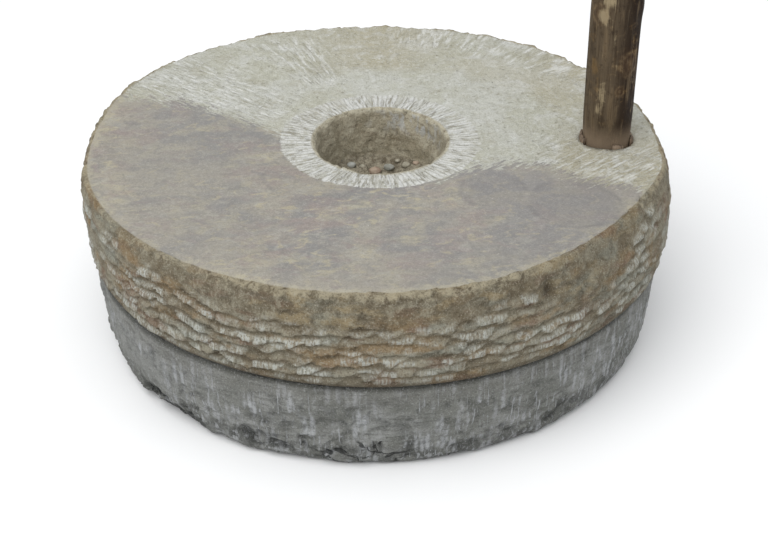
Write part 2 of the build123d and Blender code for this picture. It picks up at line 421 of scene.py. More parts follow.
def make_runner_stone():
    """The upper stone: chiselled side, half-dressed top, ring of radial cuts, hopper, slots and furrows."""
    top_z = RUNNER_TOP_Z
    middle_z = (RUNNER_RIM_Z + top_z) / 2
    edge_top_r = RUNNER_TOP_R - 3.5
    counts, zones, radius, height, normal, bearing, depth = turned_stone(
        (RUNNER_UNDER_R - 5, RUNNER_RIM_Z + 0.2),
        ("rim", 4, True, (245.9, 87), (244, 83.4)),
        ("side", 47, True, (RUNNER_TOP_R + 1, top_z - 3.6), (RUNNER_BULGE_R, middle_z)),
        ("edge", 7, True, (edge_top_r, top_z), (RUNNER_TOP_R - 0.4, top_z - 0.9)),
        ("top", 57, True, (RING_R, top_z)),
        ("ring", 11, True, (HOPPER_MOUTH_R + 1.5, top_z - 1)),
        ("mouth", 3, True, (HOPPER_MOUTH_R - 0.5, top_z - 3)),
        ("wall", 16, True, (HOPPER_FLOOR_R, HOPPER_FLOOR_Z)),
        ("funnel", 9, True, (FEED_EYE_R, FEED_EYE_TOP_Z)),
        ("eye", 6, False, (FEED_EYE_R, SWALLOW_Z)),
        ("inner", 9, False, (SLOT_REACH, under_z(SLOT_REACH))),
        ("under", 44, False, (RUNNER_UNDER_R - 5, under_z(RUNNER_UNDER_R - 5))),
    )
    gap_on_top = (edge_top_r - radius) / 5
    outer = np.isin(zones, ["rim", "side", "edge"])
    top = np.isin(zones, ["top", "ring"])
    hollow = np.isin(zones, ["mouth", "wall", "funnel", "eye"])
    under = np.isin(zones, ["inner", "under"])

    # Out of round: the rim's outline fades towards the hopper, and below towards the bed's
    rise = np.clip((height - RUNNER_RIM_Z) / (top_z - RUNNER_RIM_Z), 0, 1)
    reach = np.clip((radius - RING_R) / (RUNNER_TOP_R - RING_R), 0, 1)
    below = below_outline(bearing, 6)
    rim_share = np.where(outer, ease(rise * 1.6 - 0.6), 1)
    above = below + (outline(bearing) - below) * rim_share
    radius = radius + np.where(outer, 1, reach) * np.where(under, below, above)
    start = solid(bearing, radius, height)
    hump = functools.partial(bump_round, np.degrees(bearing))

    # Chisel marks round the side, up to a plain band under the edge
    lean, gap, strength, tone = chisel_marks(start, bearing, height, CHISEL_COLUMNS, CHISEL_COURSE, 11)
    plain_band = 10 + 15 * hump(-98, 26) + 6 * hump(90, 50) + 34 * hump(-48, 10)
    chiselled = ease((top_z - plain_band - height + 10 * noise(start, 26, 21)) / 8)
    chiselled *= (zones == "side") * np.clip(0.8 + 0.6 * noise(start, 60, 22), 0, 1)
    chiselled *= ease((height - RUNNER_RIM_Z - 3) / 4)
    proud = ease(lean + 0.55) * (0.3 + 0.7 * strength) * ease(gap / 0.12 + 0.3)
    boldness = 1 + 0.9 * hump(-148, 34) - 0.25 * hump(-50, 30)
    bare = ease((height - top_z + plain_band + 10) / 14)
    rough = (0.6 + 0.5 * bare) * (fractal(start, 12, 4, 31) + facets(start, 8, 33))
    rough += 0.8 * fractal(start, 45, 2, 35)
    rough *= ease((height - RUNNER_RIM_Z) / 9)
    push = outer * (3.1 * boldness * chiselled * (proud - 0.4) + rough)
    # The upward-facing lips of the marks: pale bruised stone, partly painted highlight
    lip_bruise_and_highlight = ease((lean + 0.3) / 0.3) * ease((gap - 0.02) / 0.2) * ease((strength - 0.1) / 0.3)

    # The broken edge, deeper where the front right is worn away
    edge_gap = np.where(top, gap_on_top, np.where(outer, (top_z - height) / 5, 9))
    edge_gap = np.clip(edge_gap, 0, 9)
    chips = np.clip(fractal(start, 11, 4, 41) + 0.05, 0, 1) * bell(edge_gap)
    chips *= 0.8 + 3 * hump(-42, 26) + 1.8 * hump(-110, 50)
    pit = hump(-58.5, 1.5) * bell((height - 144) / 6.5)
    push -= outer * 5 * pit

    # The ring of cuts, the dressed part of the top, and the hopper
    cuts = np.cos(bearing * RING_CUTS + 2.2 * noise(start, 12, 51) + 3 * noise(start, 40, 52))
    ring_edge = RING_R + 1.5 * noise(start, 30, 54) + 2.5 * hump(-115, 40)
    ring = ease((ring_edge - radius) / 11 + 0.5) * top
    worn = np.where(top | (zones == "edge"), worn_edge(start), -60)
    dressed = ease(0.5 - (worn + 8 * noise(start, 14, 63)) / 16)
    push += top * (1 - ring) * dressed * (0.4 * fractal(start, 8, 3, 61) - 0.4)
    push += top * ring * (0.3 * cuts + 0.25 * fractal(start, 5, 2, 64) - 0.35)
    push += top * 0.5 * noise(start, 90, 62) * reach
    hollow_rough = 1.1 * facets(start * [1, 1, 1.6], 13, 71) + 0.9 * fractal(start, 13, 3, 72)
    hollow_rough += (zones == "funnel") * 1.6 * facets(start, 6, 73)
    push += hollow * hollow_rough * ease((radius - FEED_EYE_R + 2) / 6)
    push += under * 0.25 * fractal(start, 8, 2, 81)

    # The points moved out or in, the hopper shifted and pinched, and the slots and the socket cut
    points = start + push[:, None] * solid(bearing, normal[:, 0], normal[:, 1])
    points -= chips[:, None] * solid(bearing, np.full(len(start), 0.8), np.full(len(start), 0.6))
    points[:, 2] += under * FURROW_DEPTH * depth
    points[:, 2] = np.where(top, np.minimum(points[:, 2], top_z), points[:, 2])
    open_side = top | hollow
    points[:, 0] += 1.8 * open_side * ease((130 - radius) / 60) * ease((height - 118) / 30)
    points[:, 0] *= 1 - 0.06 * open_side * ease((76 - radius) / 16) * ease((radius - FEED_EYE_R) / 20)
    cut_slots(points, zones == "inner")
    cut_socket(points, zones == "top")
    bare_share = 1 - 0.8 * hump(-152, 24) - 0.6 * hump(-10, 20) - 0.4 * hump(-42, 14)
    rim_light = 1 - 0.6 * hump(-40, 20) - 0.4 * hump(-142, 26)
    fields = {
        "worn": worn,
        "ring": ring,
        "groove": -cuts * top,
        "side": outer * 1.0,
        "hollow": hollow * 1.0,
        "lip_bruise_and_highlight": np.clip(lip_bruise_and_highlight * chiselled * (1 + 0.5 * hump(-150, 30)), 0, 1),
        # Painted shade in the chisel marks' undercuts and in sunken rough
        "painted_crevice_shade": outer * (chiselled * ease((0.3 - proud) / 0.3) + 0.5 * ease((-rough - 0.3) / 1.2)),
        # Painted shade along the bottom band over the seam with the bed, and in the pit
        "painted_seam_shade": outer * np.maximum(ease((RUNNER_RIM_Z + 11 - height) / 10), 1.3 * pit),
        "tone": tone,
        "bare": outer * bare * bare_share,
        "rim": np.exp(-(edge_gap**2) / 2) * rim_light,
        "struck": (zones == "wall") * hump(55, 40) * ease((height - 136) / 12),
        "lit": (zones == "wall") * hump(178, 38),
        "mouth": np.where(zones == "mouth", 1, np.where(zones == "wall", ease((height - 156.5) / 4), 0)),
        "rubble": (zones == "funnel") * 1.0,
        **{patch: sector(start, spots) for patch, spots in TOP_PATCHES.items()},
    }
    return make_piece("runner_stone_cut", points, stitch(counts, closed=True), fields)


def under_z(radius):
    """Height of the runner's conical grinding face at a radius."""
    return SWALLOW_Z + (RUNNER_RIM_Z - SWALLOW_Z) * (radius - FEED_EYE_R) / (RUNNER_UNDER_R - FEED_EYE_R)


def bed_z(radius):
    """Height of the bed's conical grinding face at a radius."""
    return BED_CROWN_Z + (BED_RIM_Z - BED_CROWN_Z) * (radius - BED_CROWN_R) / (BED_TOP_R - BED_CROWN_R)


# Bearings on the bed's side where the upright strokes are close together: (bearing, spread)
BED_COMBS = ((-50, 13), (-27, 8), (-72, 9), (-107, 8), (-126, 7), (60, 30), (140, 22))


def make_bed_stone():
    """The lower stone: rough tapering side with a broken foot, and a furrowed grinding face."""
    counts, zones, radius, height, normal, bearing, depth = turned_stone(
        (226, BED_FOOT_Z),
        ("foot", 5, True, (234.8, 8), (231.5, 2)),
        ("side", 42, True, (BED_TOP_R, BED_RIM_Z - 4), (BED_WAIST_R - 0.5, 42)),
        ("rim", 4, True, (239, bed_z(239)), (241.8, BED_RIM_Z - 1)),
        ("face", 46, False, (BED_CROWN_R, BED_CROWN_Z)),
        ("crown", 3, False, (BUSH_HOLE_R[1], BED_CROWN_Z)),
        ("hole", 10, False, (BUSH_HOLE_R[0], BED_FOOT_Z)),
        ("under", 16, False, (226, BED_FOOT_Z)),
    )
    outer = np.isin(zones, ["foot", "side", "rim"])
    face = np.isin(zones, ["face", "crown"])

    reach = (zones != "hole") * np.clip((radius - BED_CROWN_R) / (BED_TOP_R - BED_CROWN_R), 0, 1)
    hump = functools.partial(bump_round, np.degrees(bearing))
    radius = radius + reach * (below_outline(bearing, 5) - 1 + 3.2 * hump(-133, 26))
    start = solid(bearing, radius, height)

    # Chunks broken out near the foot, mostly at the front left, front and back
    low = ease((40 - height + 20 * noise(start, 55, 101)) / 26)
    broken = 0.5 + 0.75 * hump(-138, 34) + 0.55 * hump(-92, 18) + 0.5 * ease(np.sin(bearing))
    chunks = facets(start * [1, 1, 1.5], 24, 111)
    small = facets(start * [1, 1, 1.5], 9, 121)
    rough = fractal(start, 10, 4, 131)
    broken *= 0.35 + 0.65 * ease((height - 4) / 16)
    push = 0.6 * rough + low * broken * (3.6 * chunks + 1.5 * small) + (1 - low) * 0.8 * small
    push += 0.8 * fractal(start, 40, 2, 135)
    push -= 3 * broken * low * ease((12 - height) / 12) * np.clip(noise(start, 34, 141) + 0.2, 0, 1)
    push -= 4 * hump(-133, 9) * ease((26 - height) / 20)
    push *= ease((BED_RIM_Z - height + 1) / 8) * 0.85 + 0.15
    raised = (zones == "foot") & (radius > 228)
    lift = raised * broken * np.clip(noise(start, 18, 151) - 0.3, 0, 1) * 3
    push = outer * (push - 0.3) + face * 0.25 * fractal(start, 8, 2, 161)

    points = start + push[:, None] * solid(bearing, normal[:, 0], normal[:, 1])
    points[:, 2] += lift - face * FURROW_DEPTH * depth
    points[:, 2] = np.maximum(points[:, 2], BED_FOOT_Z)
    fields = {
        "side": outer * 1.0,
        "low": low * outer,
        # Painted shade in the side's sunken hollows
        "painted_crevice_shade": outer * ease((-push - 0.4) / 2.2),
        "comb": outer * np.max([hump(*comb) for comb in BED_COMBS], axis=0),
        "cracked": low * outer * (hump(-93, 11) + 0.8 * hump(-138, 14)),
        "rim": outer * ease((height - 58) / 14),
        # Painted shade along the top of the side, under the seam with the runner
        "painted_seam_shade": outer * ease((height - BED_RIM_Z + 6) / 5),
        "pale": outer * hump(-143, 22) * ease((height - 20) / 20),
    }
    return make_piece("bed_stone_cut", points, stitch(counts, closed=True), fields)


# ---- handle, wedges and pebbles


def pole_centre(height):
    """Sideways bow of the pole's middle line at a height above the stone, in millimetres."""
    return np.interp(height, [0, 65, 130, 190, 240], [0, -0.5, -0.4, 1, 3])


def pole_radius(height):
    """Radius of the pole at a height above the stone, in millimetres."""
    return np.interp(height, [0, 65, 130, 190, 240], [HANDLE_R, 20.3, 20.4, 19.8, 19])


# Knots of the pole: (bearing, level above the stone, size, rise)
KNOTS = ((-59, 76, 8, 1.3), (-76, 53, 3.5, 0.5), (-138, 118, 7, 0.6),
         (109, 60, 10, 1.6), (166, 168, 8, 1.3), (-69, 196, 8, 1.2))

# Patches of the pole where the bark is rubbed pale or ochre: (bearing, level, width, height, strength)
POLE_PATCHES = {
    "rubbed": ((-126, 117, 6, 8, 1), (-112, 132, 8, 7, 0.8), (-117, 50, 3.5, 15, 0.75),
               (-124, 36, 3, 8, 0.6), (-40, 60, 3, 5, 0.5), (-100, 95, 4, 5, 0.3),
               (60, 100, 7, 20, 0.8), (150, 150, 6, 14, 0.7)),
    "ochre": ((-142, 71, 5, 8, 0.9), (-128, 60, 4, 16, 0.5), (-48, 92, 6, 12, 0.35),
              (-62, 50, 5, 24, 0.3), (100, 140, 8, 22, 0.7), (-150, 100, 5, 10, 0.4)),
}


def pole_offset(degrees, level, centre, middle):
    """How far points of the pole lie round it and up it from a place on its side, in millimetres."""
    return np.radians((degrees - centre + 180) % 360 - 180) * HANDLE_R, level - middle


def pole_patches(degrees, level, patches):
    """The strongest at each point of several soft oval patches on the pole's side."""
    masks = []
    for centre, middle, width, tall, strength in patches:
        across, along = pole_offset(degrees, level, centre, middle)
        masks.append(strength * bell(across / width) * bell(along / tall))
    return np.max(masks, axis=0)


def make_handle():
    """The pole: a weathered branch with shallow flutes, knots and a worn round top."""
    around, shaft_rows, dome_rows, dome = 96, 190, 9, 8
    stone_z = RUNNER_TOP_Z
    turn = np.linspace(0, math.pi / 2, dome_rows)
    inner = np.linspace(1, 0.12, 6)[1:]
    heights = np.concatenate([
        np.linspace(HANDLE_FOOT_Z, HANDLE_TOP_Z - dome, shaft_rows, endpoint=False),
        HANDLE_TOP_Z - dome + dome * np.sin(turn),
        np.full(len(inner), HANDLE_TOP_Z),
    ])
    domed = 1 - 0.42 * (1 - np.cos(turn))
    shrink = np.concatenate([np.ones(shaft_rows), domed, domed[-1] * inner])
    row = np.repeat(np.arange(len(heights)), around)
    bearing = np.tile(np.arange(around) / around * 2 * math.pi, len(heights))
    degrees, height = np.degrees(bearing), heights[row]
    above = height - stone_z
    start = solid(bearing, pole_radius(above), height)
    streak = start * [1, 1, 0.06]
    push = 0.5 * noise(streak, 7, 201) + 0.25 * noise(streak, 3, 202) + 0.6 * noise(start, 48, 203)
    push += 0.9 * bump_round(degrees, -20, 30) * bell((above - 122) / 9)
    swirl, ripple = np.zeros((2, len(start)))
    for centre, middle, size, rise in KNOTS:
        across, along = pole_offset(degrees, above, centre, middle)
        away = np.hypot(across, along * 0.8) / size + 0.16 * noise(start, 5, 206)
        push += rise * bell(away) - 0.4 * rise * bell(away * 2.6)
        swirl = np.maximum(swirl, bell(away / 1.1))
        ripple = np.maximum(ripple, bell((away - 0.95) / 0.2) + 0.9 * bell(away / 0.32))
    push *= ease((above + 2) / 8)
    narrowed = (0.5 + flattened(degrees)) * ease(1 - above / 30)
    radius = (pole_radius(above) + push - narrowed) * shrink[row]
    points = solid(bearing, radius, height)
    points[:, 0] += HANDLE_X + pole_centre(above)
    top_row = above > HANDLE_TOP_Z - stone_z - 0.01
    points[:, 2] -= top_row * (0.5 + 0.5 * noise(start, 9, 205))
    faces = stitch([around] * len(heights), closed=False)
    last = len(points) - around
    faces += [list(range(around))[::-1], list(range(last, last + around))]
    fields = {
        "knot": swirl,
        "ripple": np.clip(ripple, 0, 1),
        **{patch: pole_patches(degrees, above, spots) for patch, spots in POLE_PATCHES.items()},
        "foot": ease((24 - above) / 24),
    }
    return make_piece("handle_pole", points, faces, fields)


def make_wedge(name, bearing, spread, proud, seed):
    """One split sliver of wood between pole and socket, with a ragged top."""
    across, rows = 9, 12
    turns = np.radians(bearing + spread * (np.linspace(0, 1, across) - 0.5) * 0.96)
    loop = np.concatenate([turns, turns[::-1]])
    is_outer = np.arange(2 * across) < across
    flat = flattened(np.degrees(loop))
    ragged = proud * (1 + 0.35 * noise(solid(loop, 60 + 0 * loop, 0 * loop), 7, seed))
    tall = WEDGE_DEPTH + np.clip(ragged, 1, None) - 0.6
    rings = []
    for share in np.linspace(0, 1, rows):
        height = RUNNER_TOP_Z - WEDGE_DEPTH + share * tall
        down = np.clip((RUNNER_TOP_Z - height) / (RUNNER_TOP_Z - HANDLE_FOOT_Z), 0, 1)
        outer_r = SOCKET_TOP_R + (SOCKET_FOOT_R - SOCKET_TOP_R) * down - 0.15 - flat
        outer_r -= 0.9 * ease((height - RUNNER_TOP_Z) / 6)
        inner_r = HANDLE_R + 0.15 - flat
        radius = np.where(is_outer, np.maximum(outer_r, inner_r + 0.4), inner_r)
        radius += is_outer * 0.25 * noise(solid(loop, radius, height * 0.2), 3, seed + 1)
        rings.append(solid(loop, radius, height))
    points = np.concatenate(rings)
    points[:, 0] += HANDLE_X
    count = 2 * across
    faces = stitch([count] * rows, closed=False)
    last = (rows - 1) * count
    for step in range(across - 1):
        quad = [step, step + 1, count - 2 - step, count - 1 - step]
        faces.append(quad[::-1])
        faces.append([last + corner for corner in quad])
    return make_piece(name, points, faces)


def make_pebble(index, x, y, size, seed):
    """A small worn stone lying on the hopper's floor."""
    rings, around = 11, 16
    polar = np.linspace(0, math.pi, rings + 2)[1:-1]
    row = np.repeat(polar, around)
    bearing = np.tile(np.arange(around) / around * 2 * math.pi, rings)
    unit = solid(bearing, np.sin(row), -np.cos(row))
    unit = np.concatenate([[[0, 0, -1]], unit, [[0, 0, 1]]])
    lump = 1 + 0.16 * fractal(unit + seed, 0.9, 2, seed) + 0.1 * facets(unit + seed, 0.8, seed)
    points = unit * lump[:, None] * np.array([size, size * 0.8, size * 0.62]) / 2
    floor_z = HOPPER_FLOOR_Z - (HOPPER_FLOOR_R - math.hypot(x, y)) * 6 / 23
    points += [x, y, floor_z + size * 0.14]
    faces = [[1 + face for face in quad] for quad in stitch([around] * rings, closed=False)]
    last = 1 + (rings - 1) * around
    end = len(points) - 1
    for step in range(around):
        other = (step + 1) % around
        faces.append([0, 1 + other, 1 + step])
        faces.append([end, last + step, last + other])
    return make_piece(f"pebble_{index}", points, faces)


# ---- nodes


def paint(red, green, blue):
    """The surface colour that this scene's light brings up to these screen values, from 0 to 255."""
    channels = [value / 255 for value in (red, green, blue)]
    linear = [c / 12.92 if c <= 0.04045 else ((c + 0.055) / 1.055) ** 2.4 for c in channels]
    return (*(c / BRIGHTNESS for c in linear), 1)


class Value:
    """What a node works out. Values add up and multiply like Python's own numbers."""

    def __init__(self, socket):
        self.socket = socket

    def __add__(self, other):
        return calc("ADD", self, other)

    def __sub__(self, other):
        return calc("SUBTRACT", self, other)

    def __rsub__(self, other):
        return calc("SUBTRACT", other, self)

    def __mul__(self, other):
        return calc("MULTIPLY", self, other)

    def step(self, low, high, start=0, end=1):
        """A smooth change from start to end as the value goes from low to high."""
        inputs = {"Value": self, "From Min": low, "From Max": high, "To Min": start, "To Max": end}
        return node("MapRange", inputs, interpolation_type="SMOOTHSTEP")


def start_nodes(owner):
    """Starts a material's or a world's nodes. The functions below add to the tree started last."""
    global tree
    owner.use_nodes = True
    tree = owner.node_tree


def start_material(name):
    """Starts a material and returns its surface's inputs."""
    global material, here
    material = bpy.data.materials.new(name)
    start_nodes(material)
    here = node("TexCoord", {}, "Object")
    return tree.nodes["Principled BSDF"].inputs


def feed(socket, value):
    """Links a value to a socket, or sets the socket's own value."""
    if isinstance(value, Value):
        tree.links.new(value.socket, socket)
    else:
        socket.default_value = value


def node(kind, inputs, output=0, **settings):
    """Adds a node with the given settings and inputs, and returns one of its outputs."""
    added = tree.nodes.new("ShaderNode" + kind)
    for setting, value in settings.items():
        setattr(added, setting, value)
    for key, value in inputs.items():
        feed(added.inputs[key], value)
    return Value(added.outputs[output])


def calc(operation, *values):
    """One arithmetic step."""
    return node("Math", dict(enumerate(values)), operation=operation)


def vector(operation, *values, output=0):
    """One step with vectors."""
    return node("VectorMath", dict(enumerate(values)), output, operation=operation)


def along(axis):
    """One coordinate of the place, in metres."""
    return node("SeparateXYZ", {0: here}, axis)


def field(name):
    """A number kept on the mesh's points."""
    return node("Attribute", {}, "Fac", attribute_name=name)


def mix(share, first, second):
    """A colour that is a share of the way from first to second."""
    return node("Mix", {0: share, 6: first, 7: second}, 2, data_type="RGBA")


def two_tone(share, first, second):
    """A colour between two that are given as screen values."""
    return mix(share, paint(*first), paint(*second))


def tinted(colour, *layers):
    """A colour moved towards others in turn, each (share of the way, screen values)."""
    for share, values in layers:
        colour = mix(share, colour, paint(*values))
    return colour


def cloud(size, detail=4, rough=0.55, warp=0):
    """Cloudy noise with lumps about size millimetres across."""
    inputs = {"Vector": here, "Scale": 1 / (size * MM), "Detail": detail, "Roughness": rough}
    return node("TexNoise", {**inputs, "Distortion": warp})


def cells(size):
    """Distance to the middle of the nearest of many cells about size millimetres across."""
    return node("TexVoronoi", {"Vector": here, "Scale": 1 / (size * MM)})


def turned(sizes, angle=0, seed=0.0):
    """Space measured in cells of the given sizes in millimetres, turned by angle degrees."""
    place = {"Location": (seed, seed, seed), "Rotation": (0, 0, math.radians(angle))}
    inputs = {"Vector": here, **place, "Scale": [size * MM for size in sizes]}
    return node("Mapping", inputs, vector_type="TEXTURE")


def spokes(count, length):
    """Space measured in cells along the radius: count of them to a turn, each about length millimetres."""
    flat = vector("MULTIPLY", here, (1, 1, 0))
    radius = vector("LENGTH", flat, output=1)
    scale = {0: vector("NORMALIZE", flat), "Scale": count / (2 * math.pi)}
    ring = node("VectorMath", scale, operation="SCALE")
    return vector("ADD", ring, node("CombineXYZ", {"Z": radius * (1 / (length * MM))}))


def drawn(space, detail=3, warp=0):
    """Cloudy noise in a space that is already measured in cells."""
    return node("TexNoise", {"Vector": space, "Scale": 1, "Detail": detail, "Distortion": warp})


def streaks(sizes, angle=0, detail=3, seed=0.0, warp=0):
    """Noise drawn out along an axis: sizes in millimetres along, across and up, turned by angle degrees."""
    return drawn(turned(sizes, angle, seed), detail, warp)


def patches(sizes, low, high, share, angle=0, detail=4, seed=0.0, warp=0):
    """A mask from 0 to share of drawn-out patches."""
    return streaks(sizes, angle, detail, seed, warp).step(low, high, 0, share)


def blows(space, share):
    """Separate chisel strokes, one to a cell of a space, in a share of the cells: from 0 to 1."""
    distance = node("TexVoronoi", {"Vector": space, "Scale": 1})
    chance = node("TexVoronoi", {"Vector": space, "Scale": 1}, "Color")
    return distance.step(0.6, 0.2) * chance.step(0.75 - 0.5 * share, 0.85 - 0.5 * share)


def finish(colour, roughness, height):
    """Gives the surface a colour, a roughness and a height in millimetres, and returns the material."""
    surface = tree.nodes["Principled BSDF"].inputs
    feed(surface["Base Color"], colour)
    feed(surface["Roughness"], roughness)
    bump = {"Height": height, "Distance": MM, "Strength": 1.0}
    feed(surface["Normal"], node("Bump", bump, "Normal"))
    return material


# ---- materials


def stone_grain():
    """The grain of sandstone: a height in millimetres, and a fine fleck from 0 to 1."""
    fine = cloud(1.3, 4, 0.65)
    return fine * 0.8 + cloud(4.2, 5, 0.65) * 1.6, fine


def flecked(colour, fleck, dark, light, strength):
    """A colour with darker and lighter grains."""
    darker, lighter = fleck.step(0.47, 0.32, 0, strength), fleck.step(0.53, 0.7, 0, strength)
    return tinted(colour, (darker, dark), (lighter, light))


def stain(x, y, radius):
    """A mask of a faint wobbling tide mark on the top: strongest along its edge, weak inside."""
    width = 4.5 * MM
    away = vector("LENGTH", vector("SUBTRACT", here, (x * MM, y * MM, RUNNER_TOP_Z * MM)), output=1)
    past_line = away + (cloud(34, 2) - 0.5) * 0.012 - radius * MM
    edge = calc("ABSOLUTE", past_line).step(width, 0) * cloud(24, 4).step(0.36, 0.6)
    return calc("MAXIMUM", edge, past_line.step(width, 0, 0, 0.35))


def dressed_top(fleck):
    """The chisel-dressed part of the runner's top: its colour, its relief and how its edge frays."""
    wide = cloud(70, 4, 0.6)
    patch = cloud(26, 5, 0.62, warp=0.5)
    blotch = cloud(7, 5, 0.7, warp=0.6)
    bearing = calc("ARCTAN2", along(1), along(0)) + wide * 0.6 + blotch * 0.3
    on_spokes, on_west = bearing.step(0.9, 1.1), bearing.step(2.6, 2.85)

    # Three directions of stroke, chosen by bearing: loose streaks and separate blows
    rays = spokes(300, 22)
    streak = mix(on_spokes, streaks((16, 2.6, 30), 43, 3, 0.31, 0.3), drawn(rays, 3, 0.3))
    streak = mix(on_west, streak, streaks((15, 3, 30), -40, 4, 0.77, 0.5))
    blow = mix(on_spokes, blows(turned((19, 3.4, 30), 43), 0.5), blows(rays, 0.5))
    blow = mix(on_west, blow, blows(turned((17, 4, 30), -38), 0.5))
    bold = (field("bold") + (patch - 0.5) * 1.4 + 0.06).step(0.1, 0.75, 0.06, 1)
    struck = bold * calc("MAXIMUM", blow, streak.step(0.52, 0.66))
    scored = bold * streak.step(0.46, 0.34)
    pits = cells(6.5).step(0.22, 0.1) * blotch.step(0.5, 0.42)
    grit = cloud(3.4, 4, 0.7)

    colour = tinted(
        two_tone(wide.step(0.4, 0.6), (202, 202, 192), (192, 191, 175)),
        (field("tan") * 0.85, (181, 173, 147)),
        (patch.step(0.5, 0.66, 0, 0.6), (216, 216, 210)),
        (patch.step(0.46, 0.34, 0, 0.6), (177, 173, 155)),
        (blotch.step(0.54, 0.68, 0, 0.55), (221, 222, 217)),
        (blotch.step(0.46, 0.34, 0, 0.5), (170, 167, 150)),
        (struck * 0.7, (233, 233, 228)),
        (scored * 0.5, (162, 158, 138)),
        (pits * 0.4, (132, 128, 110)),
        (grit.step(0.54, 0.68, 0, 0.5), (222, 222, 215)),
        (grit.step(0.46, 0.34, 0, 0.5), (156, 152, 134)),
    )
    relief = scored * 0.5 - struck * 0.6 - pits * 0.6 + (blotch - 0.5) * 2.2 + (grit - 0.5) * 0.8
    fray = streak * 0.7 + blotch * 0.5 - 0.6
    return flecked(colour, fleck, (154, 151, 135), (232, 232, 226), 0.5), relief, fray


def worn_top(fleck):
    """Colour of the worn part of the runner's top: streaky grey, tan, ochre and lilac."""
    share = streaks((64, 46, 40), 8, 6, 0.1, 0.6) - field("lilac") * 0.06 + field("tan") * 0.07
    mottle = cloud(10, 5, 0.68, warp=0.7)
    grit = cloud(3.6, 4, 0.7)
    marks = calc("MAXIMUM", calc("MAXIMUM", stain(90, -89, 26), stain(153, -111, 35)), stain(-52, -66, 40))
    rim = field("rim") + (cloud(8, 5, 0.65) - 0.5) * 3
    colour = tinted(
        two_tone(share.step(0.4, 0.6), (136, 134, 131), (161, 155, 142)),
        (field("tan") * 0.35, (163, 152, 132)),
        (patches((33, 24, 30), 0.5, 0.68, 0.75, 12, 6, 0.6, 0.6), (174, 167, 145)),
        (patches((38, 27, 30), 0.5, 0.68, 0.7, -10, 6, 3.3, 0.6), (152, 137, 131)),
        (patches((17, 12, 20), 0.52, 0.67, 0.5, 16, 6, 2.1, 0.8), (170, 167, 155)),
        (patches((25, 17, 20), 0.52, 0.67, 0.45, -18, 6, 5.2, 0.8), (130, 128, 127)),
        (patches((13, 8, 12), 0.55, 0.68, 0.7, 10, 6, 7.7, 0.9), (182, 173, 145)),
        (patches((15, 9, 12), 0.55, 0.68, 0.55, -6, 6, 8.4, 0.9), (146, 133, 129)),
        (patches((24, 4, 20), 0.57, 0.68, 0.3, 7, 6, 4.2, 1.0), (120, 115, 108)),
        (mottle.step(0.53, 0.68, 0, 0.45), (176, 173, 163)),
        (mottle.step(0.46, 0.33, 0, 0.45), (124, 121, 116)),
        (field("lilac") * 0.6, (141, 138, 137)),
        (field("dull") * 0.45, (140, 137, 132)),
        (grit.step(0.54, 0.68, 0, 0.4), (172, 169, 160)),
        (grit.step(0.46, 0.34, 0, 0.4), (126, 123, 117)),
        (marks * 0.5, (119, 116, 115)),
        (rim.step(0.4, 1.1, 0, 0.6), (177, 170, 149)),
        # Small white specks: painted glints
        (cloud(3.4, 3, 0.6).step(0.72, 0.78, 0, 0.8), (202, 200, 194)),
    )
    return flecked(colour, fleck, (122, 119, 111), (180, 177, 167), 0.5)


def ring_cuts(fleck):
    """Colour and relief of the ring of radial cuts round the hopper."""
    chance = node("TexVoronoi", {"Vector": spokes(104, 26), "Scale": 1}, "Color")
    blotch = cloud(5, 5, 0.7)
    tick = drawn(spokes(250, 9), 2)
    groove = calc("MAXIMUM", tick.step(0.57, 0.66), field("groove").step(0.5, 1, 0, 0.5))
    groove = groove * blotch.step(0.36, 0.52, 0.2, 1)
    colour = tinted(
        two_tone(chance.step(0.3, 0.7), (202, 201, 192), (219, 219, 214)),
        (blotch.step(0.48, 0.36, 0, 0.7), (172, 168, 149)),
        (tick.step(0.46, 0.36, 0, 0.6), (232, 232, 228)),
        (groove * 0.7, (148, 141, 119)),
    )
    return flecked(colour, fleck, (160, 157, 142), (232, 232, 229), 0.45), groove * -0.8


def chiselled_side(fleck):
    """Colour of the runner's side, brown with pale combed marks that are partly painted highlight, stains,
    painted shade in crevices and along the seam; and its blotches.
    """
    patch = cloud(34, 5, 0.6, warp=0.5)
    blotch = cloud(8, 5, 0.7, warp=0.5)
    comb = streaks((1.5, 1.5, 9), seed=0.9).step(0.42, 0.58, 0.25, 1)
    bite = (field("tone") + blotch * 1.2).step(0.75, 1.2, 0.1, 1)
    rim = field("rim") + (blotch - 0.5) * 2.6
    colour = tinted(
        two_tone(patch.step(0.4, 0.6), (130, 119, 98), (152, 146, 127)),
        (patches((44, 44, 15), 0.52, 0.66, 0.75, seed=1.4), (148, 123, 88)),
        (patches((30, 30, 11), 0.53, 0.67, 0.7, seed=2.8), (127, 102, 84)),
        (patches((36, 36, 14), 0.53, 0.67, 0.7, seed=6.1), (138, 140, 128)),
        (field("bare") * blotch.step(0.62, 0.4, 0.25, 0.75), (98, 88, 70)),
        (field("bare") * patches((26, 26, 10), 0.52, 0.64, 0.7, seed=3.9), (160, 144, 112)),
        (blotch.step(0.52, 0.66, 0, 0.6), (160, 154, 134)),
        (blotch.step(0.46, 0.34, 0, 0.5), (98, 86, 66)),
        # Pale bruised chisel marks on the lips, partly painted highlight where the lips face up
        (field("lip_bruise_and_highlight") * comb * bite * 0.9, (196, 198, 190)),
        # Painted shade in the crevices
        (field("painted_crevice_shade") * 0.6, (80, 70, 54)),
        # Painted shade along the seam
        (field("painted_seam_shade") * 0.75, (66, 57, 44)),
        (rim.step(0.5, 1.1, 0, 0.75), (176, 166, 140)),
    )
    return flecked(colour, fleck, (84, 74, 58), (182, 176, 158), 0.6), blotch


